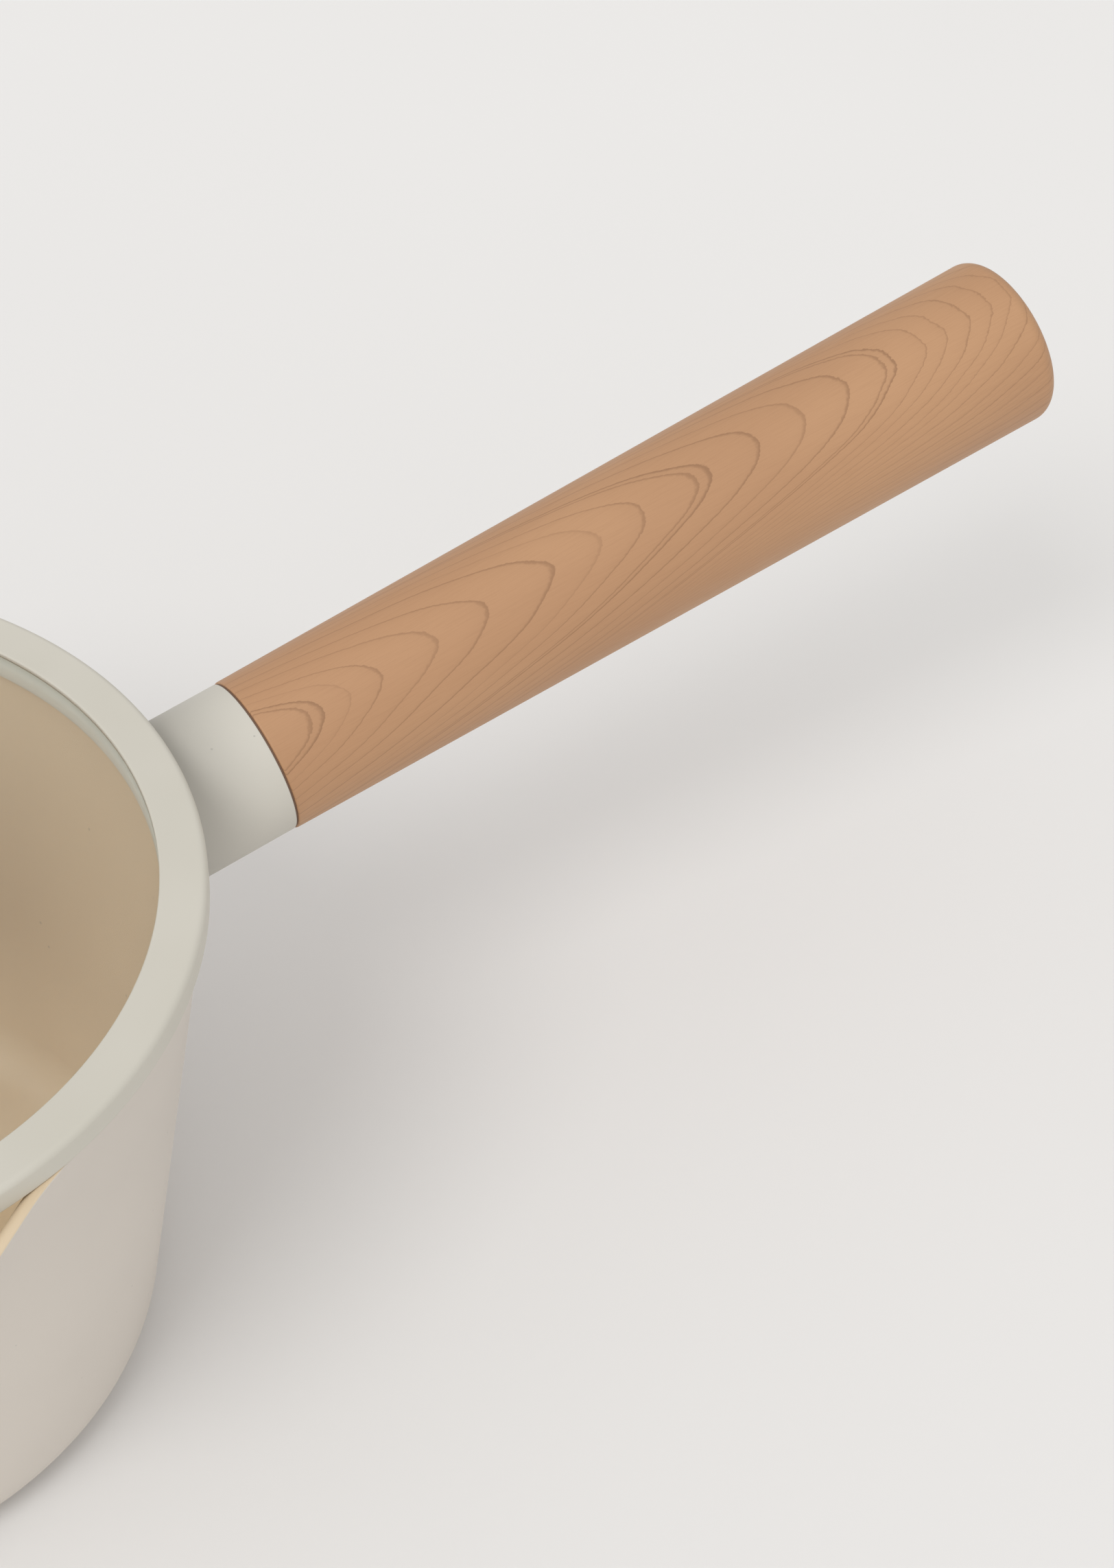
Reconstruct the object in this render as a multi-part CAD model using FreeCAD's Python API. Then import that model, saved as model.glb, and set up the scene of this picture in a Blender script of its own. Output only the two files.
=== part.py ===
import FreeCAD, Part
import math
import os
from FreeCAD import Vector

# Saucepan with a lift-off glass lid. Millimetres, +Z up. The origin is the centre of the base on
# the resting plane. The handle points along +X and the two pouring spouts along -Y and +Y.

# ---- Pan ----
PAN_HEIGHT = 100.0       # resting plane to the top of the rim
RIM_RADIUS = 84.8        # outside of the wall at the rim
BASE_RADIUS = 68.6       # outside of the wall where its slope would reach the resting plane
WALL = 2.6
FLOOR = 4.5
BASE_CORNER = 11.5       # outside corner between the wall and the base
INNER_CORNER = 9.0       # inside corner between the wall and the floor

# ---- Pouring spouts: slanted beaks raised out of the wall ----
SPOUT_REACH = 11.7       # how far the lip stands past the wall at the rim
SPOUT_HALF_ANGLE = 54.0  # between each straight side and the spout's own axis
SPOUT_TIP_RADIUS = 17.0  # outside of the rounded tip
SPOUT_DEPTH = 38.0       # how far down the wall a beak starts
SPOUT_SINK = 0.5         # a beak's lower end lies this deep in the wall
SPOUT_ANGLES = (-90.0, 90.0)

# ---- Induction disc pressed into the base ----
DISC_RADIUS = 54.0
DISC_THICKNESS = 0.8
DISC_EDGE_GAP = 0.1
DISC_HOLE_RADIUS = 2.0
DISC_HOLE_ROWS = ((16.0, 8), (27.0, 14), (38.0, 20), (48.0, 26))   # (row radius, holes)

# ---- Handle: everything here is measured along or around the handle's own axis ----
HANDLE_TILT = 9.1        # degrees that the handle rises towards its free end
COLLAR_DROP = 2.0        # top of the rim down to the top of the collar, under the lid's edge
BOSS_RADIUS = 9.0
BOSS_LENGTH = 17.0       # wall to the boss's end
BOSS_CLEARANCE = 0.3     # around the boss, inside the collar
INSERT_RADIUS = 5.0
INSERT_LENGTH = 13.0
COLLAR_RADIUS = 15.05
COLLAR_LENGTH = 24.25    # wall to the collar's outer face
COLLAR_ROUND = 0.3
COLLAR_WALL_GAP = 0.1    # between the scribed end of the collar and the pan's wall
SEAM_THICKNESS = 0.4
SEAM_INSET = 0.3         # the seam gasket stays this far inside the collar's surface
PIN_RADIUS = 1.5
PIN_LENGTH = 10.0
PIN_OFFSET = 9.5         # handle axis to each pin
GRIP_START_RADIUS = 15.2
GRIP_END_RADIUS = 17.0
GRIP_LENGTH = 173.4
GRIP_START_ROUND = 0.7
GRIP_END_ROUND = 3.2
GRIP_CROWN = 1.2         # how far the middle of the free end stands past its edge
GRIP_CROWN_RADIUS = 8.0  # the flat middle of the crowned end
TIE_RADIUS = 3.0
TIE_HEAD_RADIUS = 5.0
TIE_HEAD_HEIGHT = 6.0
TIE_HEAD_DEPTH = 21.0    # free end of the grip to the outer face of the screw's head
TIE_INTO_INSERT = 11.0
COUNTERBORE_RADIUS = 6.2
PLUG_LENGTH = 9.0
PLUG_CLEARANCE = 0.05
WASHER_RADIUS = 5.7
WASHER_THICKNESS = 1.2
LOCK_WASHER_THICKNESS = 1.6
LOCK_WASHER_SPLIT = 1.0

# ---- Lid ----
LID_OVERHANG = 1.2       # silicone rim past the pan's wall
RIM_LIP = 1.0            # silicone over the edge of the glass
RIM_BAND_ROUND = 1.2     # upper outer edge of the band
RIM_BAND_WIDTH = 8.3     # flat band, outer edge to inner edge
RIM_SMALL_ROUND = 0.4
RIM_PLUG_DEPTH = 3.0     # how far the rim's inner ring hangs inside the pan
RIM_PLUG_CLEARANCE = 0.5
GLASS_SEAT = 1.0         # pan's rim to the underside of the glass at its edge
GLASS_THICKNESS = 3.0
GLASS_GRIP = 3.0         # how far the glass goes into the silicone groove
GLASS_EDGE_GAP = 0.1
GLASS_BORDER = 7.0       # flat border of the glass, outside its shallow dome
GLASS_RISE = 4.0         # height of the dome
GLASS_HOLE_RADIUS = 5.0

# ---- Knob ----
KNOB_GASKET_RADIUS = 13.0
KNOB_GASKET_THICKNESS = 1.0
KNOB_BASE_RADIUS = 14.0
KNOB_BASE_HEIGHT = 8.0
KNOB_START_RADIUS = 14.2
KNOB_END_RADIUS = 17.0
KNOB_HEIGHT = 24.0
KNOB_START_ROUND = 0.8
KNOB_END_ROUND = 3.5
KNOB_CROWN = 1.0
KNOB_CROWN_RADIUS = 8.0
KNOB_INSERT_RADIUS = 4.2
KNOB_INSERT_LENGTH = 14.0
KNOB_SCREW_RADIUS = 2.5
KNOB_SCREW_HEAD_RADIUS = 4.6
KNOB_SCREW_HEAD_HEIGHT = 3.2
KNOB_SCREW_INTO_INSERT = 12.0
GROMMET_FLANGE_RADIUS = 9.0
GROMMET_FLANGE_THICKNESS = 1.2
GROMMET_HOLE_GAP = 0.2
KNOB_WASHER_RADIUS = 6.5
KNOB_WASHER_THICKNESS = 1.0
KNOB_LOCK_RADIUS = 4.6
KNOB_LOCK_THICKNESS = 1.2

# ---- Fits shared by all the screws ----
SCREW_CLEARANCE = 0.2    # around a shank in a plain hole
THREAD_GAP = 0.05        # around a shank in its threaded insert
SCREW_TIP_CHAMFER = 0.6
SOCKET_SHARE = 0.55      # hexagon socket, as a share of the head's radius and height
OVERRUN = 5.0            # how far a cutting shape runs past what it cuts

AXIS = Vector(0, 0, 1)
CENTRE = Vector(0, 0, 0)

# ---- Values worked out from the sizes above ----
wall_slope = (RIM_RADIUS - BASE_RADIUS) / PAN_HEIGHT
wall_across = WALL * math.hypot(1.0, wall_slope)          # the wall's thickness measured level
tilt = math.radians(HANDLE_TILT)
lid_radius = RIM_RADIUS + LID_OVERHANG
collar_rise = (lid_radius * math.sin(tilt) + COLLAR_RADIUS) / math.cos(tilt)
axis_height = PAN_HEIGHT - COLLAR_DROP - collar_rise      # where the handle's axis meets the pan's
axis_wall = RIM_RADIUS - (PAN_HEIGHT - axis_height) * wall_slope
wall_at = axis_wall / (math.cos(tilt) - wall_slope * math.sin(tilt))
boss_end = wall_at + BOSS_LENGTH
collar_end = wall_at + COLLAR_LENGTH
grip_start = collar_end + SEAM_THICKNESS
grip_end = grip_start + GRIP_LENGTH
tie_seat = grip_end - TIE_HEAD_DEPTH - TIE_HEAD_HEIGHT    # underside of the screw's head
counterbore_floor = tie_seat - LOCK_WASHER_THICKNESS - WASHER_THICKNESS

band_inner = lid_radius - RIM_BAND_WIDTH
plug_bottom = PAN_HEIGHT - RIM_PLUG_DEPTH
plug_radius = RIM_RADIUS - RIM_PLUG_DEPTH * wall_slope - wall_across - RIM_PLUG_CLEARANCE
glass_radius = band_inner + GLASS_GRIP
glass_bottom = PAN_HEIGHT + GLASS_SEAT
glass_top = glass_bottom + GLASS_THICKNESS
band_top = glass_top + RIM_LIP
dome_edge = glass_radius - GLASS_BORDER
dome_radius = (dome_edge ** 2 + GLASS_RISE ** 2) / (2 * GLASS_RISE)
crown_top = glass_top + GLASS_RISE
gasket_top = crown_top + KNOB_GASKET_THICKNESS
knob_bottom = gasket_top + KNOB_BASE_HEIGHT
knob_top = knob_bottom + KNOB_HEIGHT
dome_drop = GROMMET_FLANGE_RADIUS ** 2 / (2 * dome_radius)   # fall of the dome at the flange's edge
flange_top = crown_top - GLASS_THICKNESS - dome_drop
flange_bottom = flange_top - GROMMET_FLANGE_THICKNESS
knob_washer_bottom = flange_bottom - KNOB_WASHER_THICKNESS
knob_lock_bottom = knob_washer_bottom - KNOB_LOCK_THICKNESS


# ---- Shared ways of making a shape ----
def outline(corners):
    """Closed X-Z outline from corners (x, z) or (x, z, radius); a radius becomes a tangent arc."""
    points = [Vector(corner[0], 0, corner[1]) for corner in corners]
    radii = [corner[2] if len(corner) > 2 else 0.0 for corner in corners]
    count = len(points)
    starts, ends, arcs = [], [], []
    for i in range(count):
        corner = points[i]
        back = (points[i - 1] - corner).normalize()
        ahead = (points[(i + 1) % count] - corner).normalize()
        half_angle = back.getAngle(ahead) / 2
        reach = radii[i] / math.tan(half_angle)
        starts.append(corner + back * reach)
        ends.append(corner + ahead * reach)
        middle = (back + ahead).normalize()
        to_arc = radii[i] / math.sin(half_angle) - radii[i]
        arcs.append(corner + middle * to_arc)
    edges = []
    for i in range(count):
        if radii[i] > 0:
            edges.append(Part.Arc(starts[i], arcs[i], ends[i]).toShape())
        next_start = starts[(i + 1) % count]
        if ends[i].distanceToPoint(next_start) > 1e-6:
            edges.append(Part.makeLine(ends[i], next_start))
    return Part.Face(Part.Wire(edges))


def turned(corners):
    """Solid of revolution about Z from an outline of (radius, height[, rounding]) corners."""
    return outline(corners).revolve(CENTRE, AXIS, 360)


def rod(radius, low, high):
    """Plain cylinder about Z from one height to another."""
    return Part.makeCylinder(radius, high - low, Vector(0, 0, low), AXIS)


def tube(outer, inner, low, high):
    """Ring about Z with a plain bore."""
    return rod(outer, low, high).cut(rod(inner, low - OVERRUN, high + OVERRUN))


def split_ring(outer, inner, low, high):
    """Spring washer: a ring with one narrow cut through its side."""
    slit = Part.makeBox(outer * 2, LOCK_WASHER_SPLIT, high - low + 2 * OVERRUN,
                        Vector(0, -LOCK_WASHER_SPLIT / 2, low - OVERRUN))
    return tube(outer, inner, low, high).cut(slit)


def socket_screw(radius, tip, seat, head_radius, head_height):
    """Screw about Z: the shank runs from its tip to its seat, and the socketed head lies past it."""
    direction = 1 if seat > tip else -1
    head_end = seat + direction * head_height
    body = turned([(0, tip), (radius - SCREW_TIP_CHAMFER, tip),
                   (radius, tip + direction * SCREW_TIP_CHAMFER), (radius, seat),
                   (head_radius, seat), (head_radius, head_end, SCREW_TIP_CHAMFER), (0, head_end)])
    hexagon = [Vector(head_radius * SOCKET_SHARE * math.cos(math.radians(60 * k)),
                      head_radius * SOCKET_SHARE * math.sin(math.radians(60 * k)), head_end)
               for k in range(7)]
    depth = Vector(0, 0, -direction * head_height * SOCKET_SHARE)
    return body.cut(Part.Face(Part.makePolygon(hexagon)).extrude(depth))


def along_handle(shape):
    """Turn a shape made about Z so that it lies about the handle's axis, out from the pan's axis."""
    placed = shape.copy()
    placed.rotate(CENTRE, Vector(0, 1, 0), 90 - HANDLE_TILT)
    placed.translate(Vector(0, 0, axis_height))
    return placed


# ---- Pan ----
def pan_outside(offset=0.0):
    """The pan as a filled solid, without its spouts, grown sideways by an offset."""
    return turned([(0, 0), (BASE_RADIUS + offset, 0, BASE_CORNER),
                   (RIM_RADIUS + offset, PAN_HEIGHT), (0, PAN_HEIGHT)])


def pan_hollow():
    """The space inside the wall, running on past the rim."""
    floor_radius = BASE_RADIUS + FLOOR * wall_slope - wall_across
    above = PAN_HEIGHT + OVERRUN
    above_radius = RIM_RADIUS + OVERRUN * wall_slope - wall_across
    return turned([(0, FLOOR), (floor_radius, FLOOR, INNER_CORNER), (above_radius, above), (0, above)])


def spout_wedge(inset, back_radius, overrun):
    """Slanted prism of a spout along +Y: a rounded triangle carried up and outwards to the rim.

    The triangle is drawn at the rim, moved in by the inset, and its back corners lie on a circle
    of the back radius. The overrun carries it on past the rim in the same direction.
    """
    half_angle = math.radians(SPOUT_HALF_ANGLE)
    tip_radius = SPOUT_TIP_RADIUS - inset
    tip = RIM_RADIUS + SPOUT_REACH - inset
    corner = tip + tip_radius * (1 / math.sin(half_angle) - 1)
    side = corner * math.cos(half_angle) - math.sqrt(
        back_radius ** 2 - (corner * math.sin(half_angle)) ** 2)
    back_x = side * math.sin(half_angle)
    back_y = corner - side * math.cos(half_angle)
    face = outline([(0, corner, tip_radius), (back_x, back_y), (-back_x, back_y)])
    face.rotate(CENTRE, Vector(1, 0, 0), -90)
    start_tip = RIM_RADIUS - SPOUT_DEPTH * wall_slope - SPOUT_SINK
    slant = Vector(0, RIM_RADIUS + SPOUT_REACH - start_tip, SPOUT_DEPTH)
    face.translate(Vector(0, 0, PAN_HEIGHT) - slant)
    return face.extrude(slant * (1 + overrun / SPOUT_DEPTH))


def at_spouts(shape):
    """Copies of a shape made along +Y, turned to each spout."""
    copies = []
    for angle in SPOUT_ANGLES:
        copy = shape.copy()
        copy.rotate(CENTRE, AXIS, angle - 90)
        copies.append(copy)
    return copies


def pan_body():
    """Cast pan: turned shell, two spouts, and the boss that takes the handle."""
    boss = along_handle(rod(BOSS_RADIUS, wall_at - BOSS_RADIUS, boss_end))
    outer_wedge = spout_wedge(0.0, RIM_RADIUS - WALL / 2, 0.0)
    inner_wedge = spout_wedge(WALL, RIM_RADIUS - 2 * WALL, OVERRUN)
    body = pan_outside().fuse(at_spouts(outer_wedge) + [boss])
    body = body.cut([pan_hollow()] + at_spouts(inner_wedge))
    body = body.cut(rod(DISC_RADIUS + DISC_EDGE_GAP, -OVERRUN, DISC_THICKNESS))
    insert_hole = along_handle(rod(INSERT_RADIUS, boss_end - INSERT_LENGTH, boss_end + OVERRUN))
    return body.cut(insert_hole).removeSplitter()


def induction_disc():
    """Perforated steel disc, flush with the base."""
    disc = rod(DISC_RADIUS, 0, DISC_THICKNESS)
    holes = []
    for row_radius, count in DISC_HOLE_ROWS:
        for k in range(count):
            angle = 2 * math.pi * k / count
            hole = rod(DISC_HOLE_RADIUS, -OVERRUN, OVERRUN)
            hole.translate(Vector(row_radius * math.cos(angle), row_radius * math.sin(angle), 0))
            holes.append(hole)
    return disc.cut(holes)


# ---- Handle ----
def boss_insert():
    """Threaded steel insert, flush with the end of the boss."""
    return along_handle(tube(INSERT_RADIUS, TIE_RADIUS + THREAD_GAP, boss_end - INSERT_LENGTH, boss_end))


def pin_holes(low, high):
    """The two locating pins as rods between two places along the handle."""
    pins = []
    for side in (-1, 1):
        pin = rod(PIN_RADIUS, low, high)
        pin.translate(Vector(0, side * PIN_OFFSET, 0))
        pins.append(pin)
    return pins


def handle_collar():
    """Ferrule scribed to the wall; its web bears on the boss's end and takes the pins."""
    shape = turned([(0, wall_at - COLLAR_RADIUS), (COLLAR_RADIUS, wall_at - COLLAR_RADIUS),
                    (COLLAR_RADIUS, collar_end, COLLAR_ROUND), (0, collar_end)])
    pocket = rod(BOSS_RADIUS + BOSS_CLEARANCE, wall_at - COLLAR_RADIUS - OVERRUN, boss_end)
    screw_hole = rod(TIE_RADIUS + SCREW_CLEARANCE, boss_end - OVERRUN, collar_end + OVERRUN)
    pins = pin_holes(collar_end - PIN_LENGTH / 2, collar_end + OVERRUN)
    return along_handle(shape.cut([pocket, screw_hole] + pins)).cut(pan_outside(COLLAR_WALL_GAP))


def seam_gasket():
    """Dark heat gasket that shows as a thin line between the collar and the grip."""
    ring = tube(COLLAR_RADIUS - SEAM_INSET, TIE_RADIUS + SCREW_CLEARANCE, collar_end, grip_start)
    return along_handle(ring.cut(pin_holes(collar_end - OVERRUN, grip_start + OVERRUN)))


def locating_pins():
    """Two dowels that stop the grip turning on the collar."""
    middle = (collar_end + grip_start) / 2
    low = collar_end - PIN_LENGTH / 2
    high = middle + (middle - low)
    return along_handle(Part.makeCompound(pin_holes(low, high)))


def grip():
    """Tapered grip with a crowned free end, bored for the tie screw and counterbored for its head."""
    bore = TIE_RADIUS + SCREW_CLEARANCE
    shape = turned([(0, grip_start), (GRIP_START_RADIUS, grip_start, GRIP_START_ROUND),
                    (GRIP_END_RADIUS, grip_end - GRIP_CROWN, GRIP_END_ROUND),
                    (GRIP_CROWN_RADIUS, grip_end), (0, grip_end)])
    pin_end = grip_start + PIN_LENGTH / 2
    cuts = [rod(bore, grip_start - OVERRUN, grip_end),
            rod(COUNTERBORE_RADIUS, counterbore_floor, grip_end + OVERRUN)]
    return along_handle(shape.cut(cuts + pin_holes(grip_start - OVERRUN, pin_end)))


def tie_screw():
    """Long screw that draws grip and collar against the boss."""
    tip = boss_end - TIE_INTO_INSERT
    return along_handle(socket_screw(TIE_RADIUS, tip, tie_seat, TIE_HEAD_RADIUS, TIE_HEAD_HEIGHT))


def tie_washer():
    """Flat washer on the floor of the counterbore."""
    top = counterbore_floor + WASHER_THICKNESS
    return along_handle(tube(WASHER_RADIUS, TIE_RADIUS + SCREW_CLEARANCE, counterbore_floor, top))


def tie_lock_washer():
    """Spring washer between the flat washer and the screw's head."""
    low = counterbore_floor + WASHER_THICKNESS
    return along_handle(split_ring(TIE_HEAD_RADIUS, TIE_RADIUS + SCREW_CLEARANCE, low, tie_seat))


def end_plug():
    """Plug that closes the counterbore, flush with the crowned end."""
    return along_handle(rod(COUNTERBORE_RADIUS - PLUG_CLEARANCE, grip_end - PLUG_LENGTH, grip_end))


# ---- Lid ----
def lid_rim():
    """Silicone rim: a flat band that rests on the pan, a plug inside it and a groove for the glass."""
    band = turned([(band_inner, plug_bottom, RIM_SMALL_ROUND), (plug_radius, plug_bottom, RIM_SMALL_ROUND),
                   (plug_radius, PAN_HEIGHT), (lid_radius, PAN_HEIGHT, RIM_SMALL_ROUND),
                   (lid_radius, band_top, RIM_BAND_ROUND), (band_inner, band_top, RIM_SMALL_ROUND)])
    return band.cut(rod(glass_radius + GLASS_EDGE_GAP, glass_bottom, glass_top))


def lid_glass():
    """Toughened glass: a flat border and a shallow dome, with the knob's hole."""
    def face(height):
        crown = Vector(0, 0, height + GLASS_RISE)
        half = dome_edge / 2
        mid = Vector(half, 0, height + GLASS_RISE - half ** 2 / (2 * dome_radius))
        edge = Vector(dome_edge, 0, height)
        return Part.Arc(crown, mid, edge).toShape(), crown, edge
    lower, lower_crown, lower_edge = face(glass_bottom)
    upper, upper_crown, upper_edge = face(glass_top)
    border_low = Vector(glass_radius, 0, glass_bottom)
    border_high = Vector(glass_radius, 0, glass_top)
    wire = Part.Wire([lower, Part.makeLine(lower_edge, border_low), Part.makeLine(border_low, border_high),
                      Part.makeLine(border_high, upper_edge), upper,
                      Part.makeLine(upper_crown, lower_crown)])
    disc = Part.Face(wire).revolve(CENTRE, AXIS, 360)
    return disc.cut(rod(GLASS_HOLE_RADIUS, glass_bottom, crown_top + OVERRUN))


def knob_gasket():
    """Silicone gasket between the glass and the knob's base."""
    return tube(KNOB_GASKET_RADIUS, KNOB_SCREW_RADIUS + SCREW_CLEARANCE, crown_top, gasket_top)


def knob_base():
    """Short round foot of the knob."""
    shape = turned([(0, gasket_top), (KNOB_BASE_RADIUS, gasket_top, COLLAR_ROUND),
                    (KNOB_BASE_RADIUS, knob_bottom, COLLAR_ROUND), (0, knob_bottom)])
    return shape.cut(rod(KNOB_SCREW_RADIUS + SCREW_CLEARANCE, gasket_top - OVERRUN, knob_bottom + OVERRUN))


def knob():
    """Tapered knob with a crowned top, bored from below for its insert."""
    shape = turned([(0, knob_bottom), (KNOB_START_RADIUS, knob_bottom, KNOB_START_ROUND),
                    (KNOB_END_RADIUS, knob_top - KNOB_CROWN, KNOB_END_ROUND),
                    (KNOB_CROWN_RADIUS, knob_top), (0, knob_top)])
    return shape.cut(rod(KNOB_INSERT_RADIUS, knob_bottom - OVERRUN, knob_bottom + KNOB_INSERT_LENGTH))


def knob_insert():
    """Threaded brass insert, flush with the underside of the knob."""
    return tube(KNOB_INSERT_RADIUS, KNOB_SCREW_RADIUS + THREAD_GAP, knob_bottom,
                knob_bottom + KNOB_INSERT_LENGTH)


def glass_grommet():
    """Silicone top hat: a sleeve through the glass and a flange under it."""
    sleeve_radius = GLASS_HOLE_RADIUS - GROMMET_HOLE_GAP
    flange = rod(GROMMET_FLANGE_RADIUS, flange_bottom, flange_top)
    sleeve = rod(sleeve_radius, flange_bottom, crown_top)
    bore = rod(KNOB_SCREW_RADIUS + SCREW_CLEARANCE, flange_bottom - OVERRUN, crown_top + OVERRUN)
    return flange.fuse(sleeve).cut(bore).removeSplitter()


def knob_washer():
    """Flat washer under the grommet."""
    return tube(KNOB_WASHER_RADIUS, KNOB_SCREW_RADIUS + SCREW_CLEARANCE, knob_washer_bottom, flange_bottom)


def knob_lock_washer():
    """Spring washer on the knob screw's head."""
    return split_ring(KNOB_LOCK_RADIUS, KNOB_SCREW_RADIUS + SCREW_CLEARANCE, knob_lock_bottom,
                      knob_washer_bottom)


def knob_screw():
    """Screw from inside the lid up into the knob."""
    return socket_screw(KNOB_SCREW_RADIUS, knob_bottom + KNOB_SCREW_INTO_INSERT, knob_lock_bottom,
                        KNOB_SCREW_HEAD_RADIUS, KNOB_SCREW_HEAD_HEIGHT)


NODES = (pan_body, induction_disc, boss_insert, handle_collar, seam_gasket, locating_pins, grip,
         tie_screw, tie_washer, tie_lock_washer, end_plug,
         lid_rim, lid_glass, knob_gasket, knob_base, knob, knob_insert, glass_grommet, knob_washer,
         knob_lock_washer, knob_screw)

os.makedirs("parts", exist_ok=True)
for make in NODES:
    shape = make()
    shape.exportStep("parts/" + make.__name__ + ".step")
    print(make.__name__, "solids", len(shape.Solids), "volume", round(shape.Volume, 1),
          "valid", shape.isValid())
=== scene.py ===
import math

import bpy
import numpy as np
from mathutils import Matrix, Vector


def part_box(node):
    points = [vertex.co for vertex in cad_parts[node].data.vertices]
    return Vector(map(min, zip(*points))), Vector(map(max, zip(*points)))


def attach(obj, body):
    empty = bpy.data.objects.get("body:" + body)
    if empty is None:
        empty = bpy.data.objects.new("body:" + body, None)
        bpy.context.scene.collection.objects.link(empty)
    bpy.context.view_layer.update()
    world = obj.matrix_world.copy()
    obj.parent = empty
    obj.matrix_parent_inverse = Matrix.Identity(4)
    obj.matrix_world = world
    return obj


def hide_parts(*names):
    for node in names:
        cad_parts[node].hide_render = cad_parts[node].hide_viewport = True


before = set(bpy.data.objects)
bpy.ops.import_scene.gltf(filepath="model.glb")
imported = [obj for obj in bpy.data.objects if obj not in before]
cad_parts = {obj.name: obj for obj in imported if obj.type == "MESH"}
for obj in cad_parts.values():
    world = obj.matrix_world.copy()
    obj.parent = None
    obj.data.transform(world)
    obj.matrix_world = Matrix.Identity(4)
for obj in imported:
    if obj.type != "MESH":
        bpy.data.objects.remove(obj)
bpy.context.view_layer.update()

MM = 0.001

# ---- Sizes read from the frame, in metres ----
pan_low, pan_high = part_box("pan_body")
rim_low, rim_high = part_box("lid_rim")
gasket_low, gasket_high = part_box("seam_gasket")
knob_low, knob_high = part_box("knob")

# The frame's round parts are facetted, so smooth ones keep this much inside their boxes.
FACET_GAP = 0.01 * MM

RIM_HEIGHT = pan_high.z
RIM_RADIUS = -pan_low.x
SPOUT_TIP = pan_high.y
RECESS_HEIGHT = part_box("induction_disc")[1].z
LID_RADIUS = rim_high.x - FACET_GAP
BAND_TOP = rim_high.z
RIM_PLUG_BOTTOM = rim_low.z
FOOT_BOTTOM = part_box("knob_base")[0].z
KNOB_BOTTOM = knob_low.z
KNOB_TOP = knob_high.z
COLLAR_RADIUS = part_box("handle_collar")[1].y
SEAM_GASKET_RADIUS = gasket_high.y

# ---- Sizes that no box shows ----
# A profile that reaches the axis stops this far from it, and one point closes what is left.
PAN_POLE = 0.3 * MM
WOOD_POLE = 0.2 * MM

BASE_RADIUS = 68.6 * MM
WALL = 2.6 * MM
FLOOR = 4.5 * MM
BASE_CORNER = 11.5 * MM
INNER_CORNER = 9.0 * MM
RIM_ROUND = 0.5 * MM
RIM_INNER_ROUND = 1.7 * MM
RECESS_RADIUS = 54.1 * MM
RECESS_ROUND = 0.15 * MM
LONGEST_FACE = 2.5 * MM
CREAM_BELOW_RIM = 0.2 * MM
SPOUT_HALF_ANGLE = math.radians(54.0)
SPOUT_TIP_RADIUS = 17.0 * MM
SPOUT_SLANT = 18.36 / 38.0
SPOUT_LOW = 45.0 * MM
SPOUT_BLEND = 4.0 * MM

TILT = math.radians(9.1)
AXIS_HEIGHT = 68.98 * MM
COLLAR_FRONT = 5.0 * MM
COLLAR_ROUND = 0.15 * MM
COLLAR_BORE = 4.0 * MM
COLLAR_OVERLAP = 1.0 * MM
SEAM_INSET = 0.15 * MM
SEAM_ROUND = 0.1 * MM
SCREW_BORE = 3.2 * MM
GRIP_LENGTH = 173.4 * MM
GRIP_START_RADIUS = 15.2 * MM
GRIP_END_RADIUS = 17.0 * MM
GRIP_START_ROUND = 0.4 * MM
GRIP_END_ROUND = 3.2 * MM
GRIP_CROWN = 1.2 * MM
CROWN_RADIUS = 8.0 * MM
CROWN_ROUND = 20.0 * MM
END_PLUG_RADIUS = 6.05 * MM
END_PLUG_HOLE = 6.2 * MM
END_PLUG_LENGTH = 9.0 * MM
END_PLUG_ROUND = 0.3 * MM

BAND_INNER = 77.7 * MM
BAND_TOP_ROUND = 1.2 * MM
BAND_LOW_ROUND = 0.4 * MM
BAND_INNER_ROUND = 0.35 * MM
RIM_PLUG_RADIUS = 81.2 * MM
RIM_PLUG_ROUND = 0.5 * MM
GLASS_RADIUS = 80.7 * MM
GLASS_LOW = 101.0 * MM
GLASS_THICK = 3.0 * MM
GLASS_TOP = GLASS_LOW + GLASS_THICK
GLASS_DOME_EDGE = 73.7 * MM
GLASS_RISE = 4.0 * MM
GLASS_HOLE = 5.0 * MM
GLASS_ROUND = 0.4 * MM
GLASS_BLEND = 0.5 * MM
GLASS_ROWS = 70
GLASS_EDGE_ROWS = 5
GLASS_EDGE_START = 0.3
GROOVE_GAP = 0.1 * MM
FOOT_RADIUS = 14.0 * MM
FOOT_BORE = 2.7 * MM
FOOT_LOW_ROUND = 0.5 * MM
FOOT_TOP_ROUND = 0.6 * MM
KNOB_LOW_RADIUS = 14.2 * MM
KNOB_TOP_RADIUS = 17.0 * MM
KNOB_BORE = 4.2 * MM
KNOB_LOW_ROUND = 0.8 * MM
KNOB_TOP_ROUND = 3.5 * MM
KNOB_CROWN = 1.0 * MM

# ---- Columns of faces round each piece ----
PAN_COLUMNS = 480
COLLAR_COLUMNS = 160
SEAM_COLUMNS = 128
GRIP_COLUMNS = 192
END_PLUG_COLUMNS = 96
RIM_COLUMNS = 360
GLASS_COLUMNS = 256
FOOT_COLUMNS = 128
KNOB_COLUMNS = 160

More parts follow.
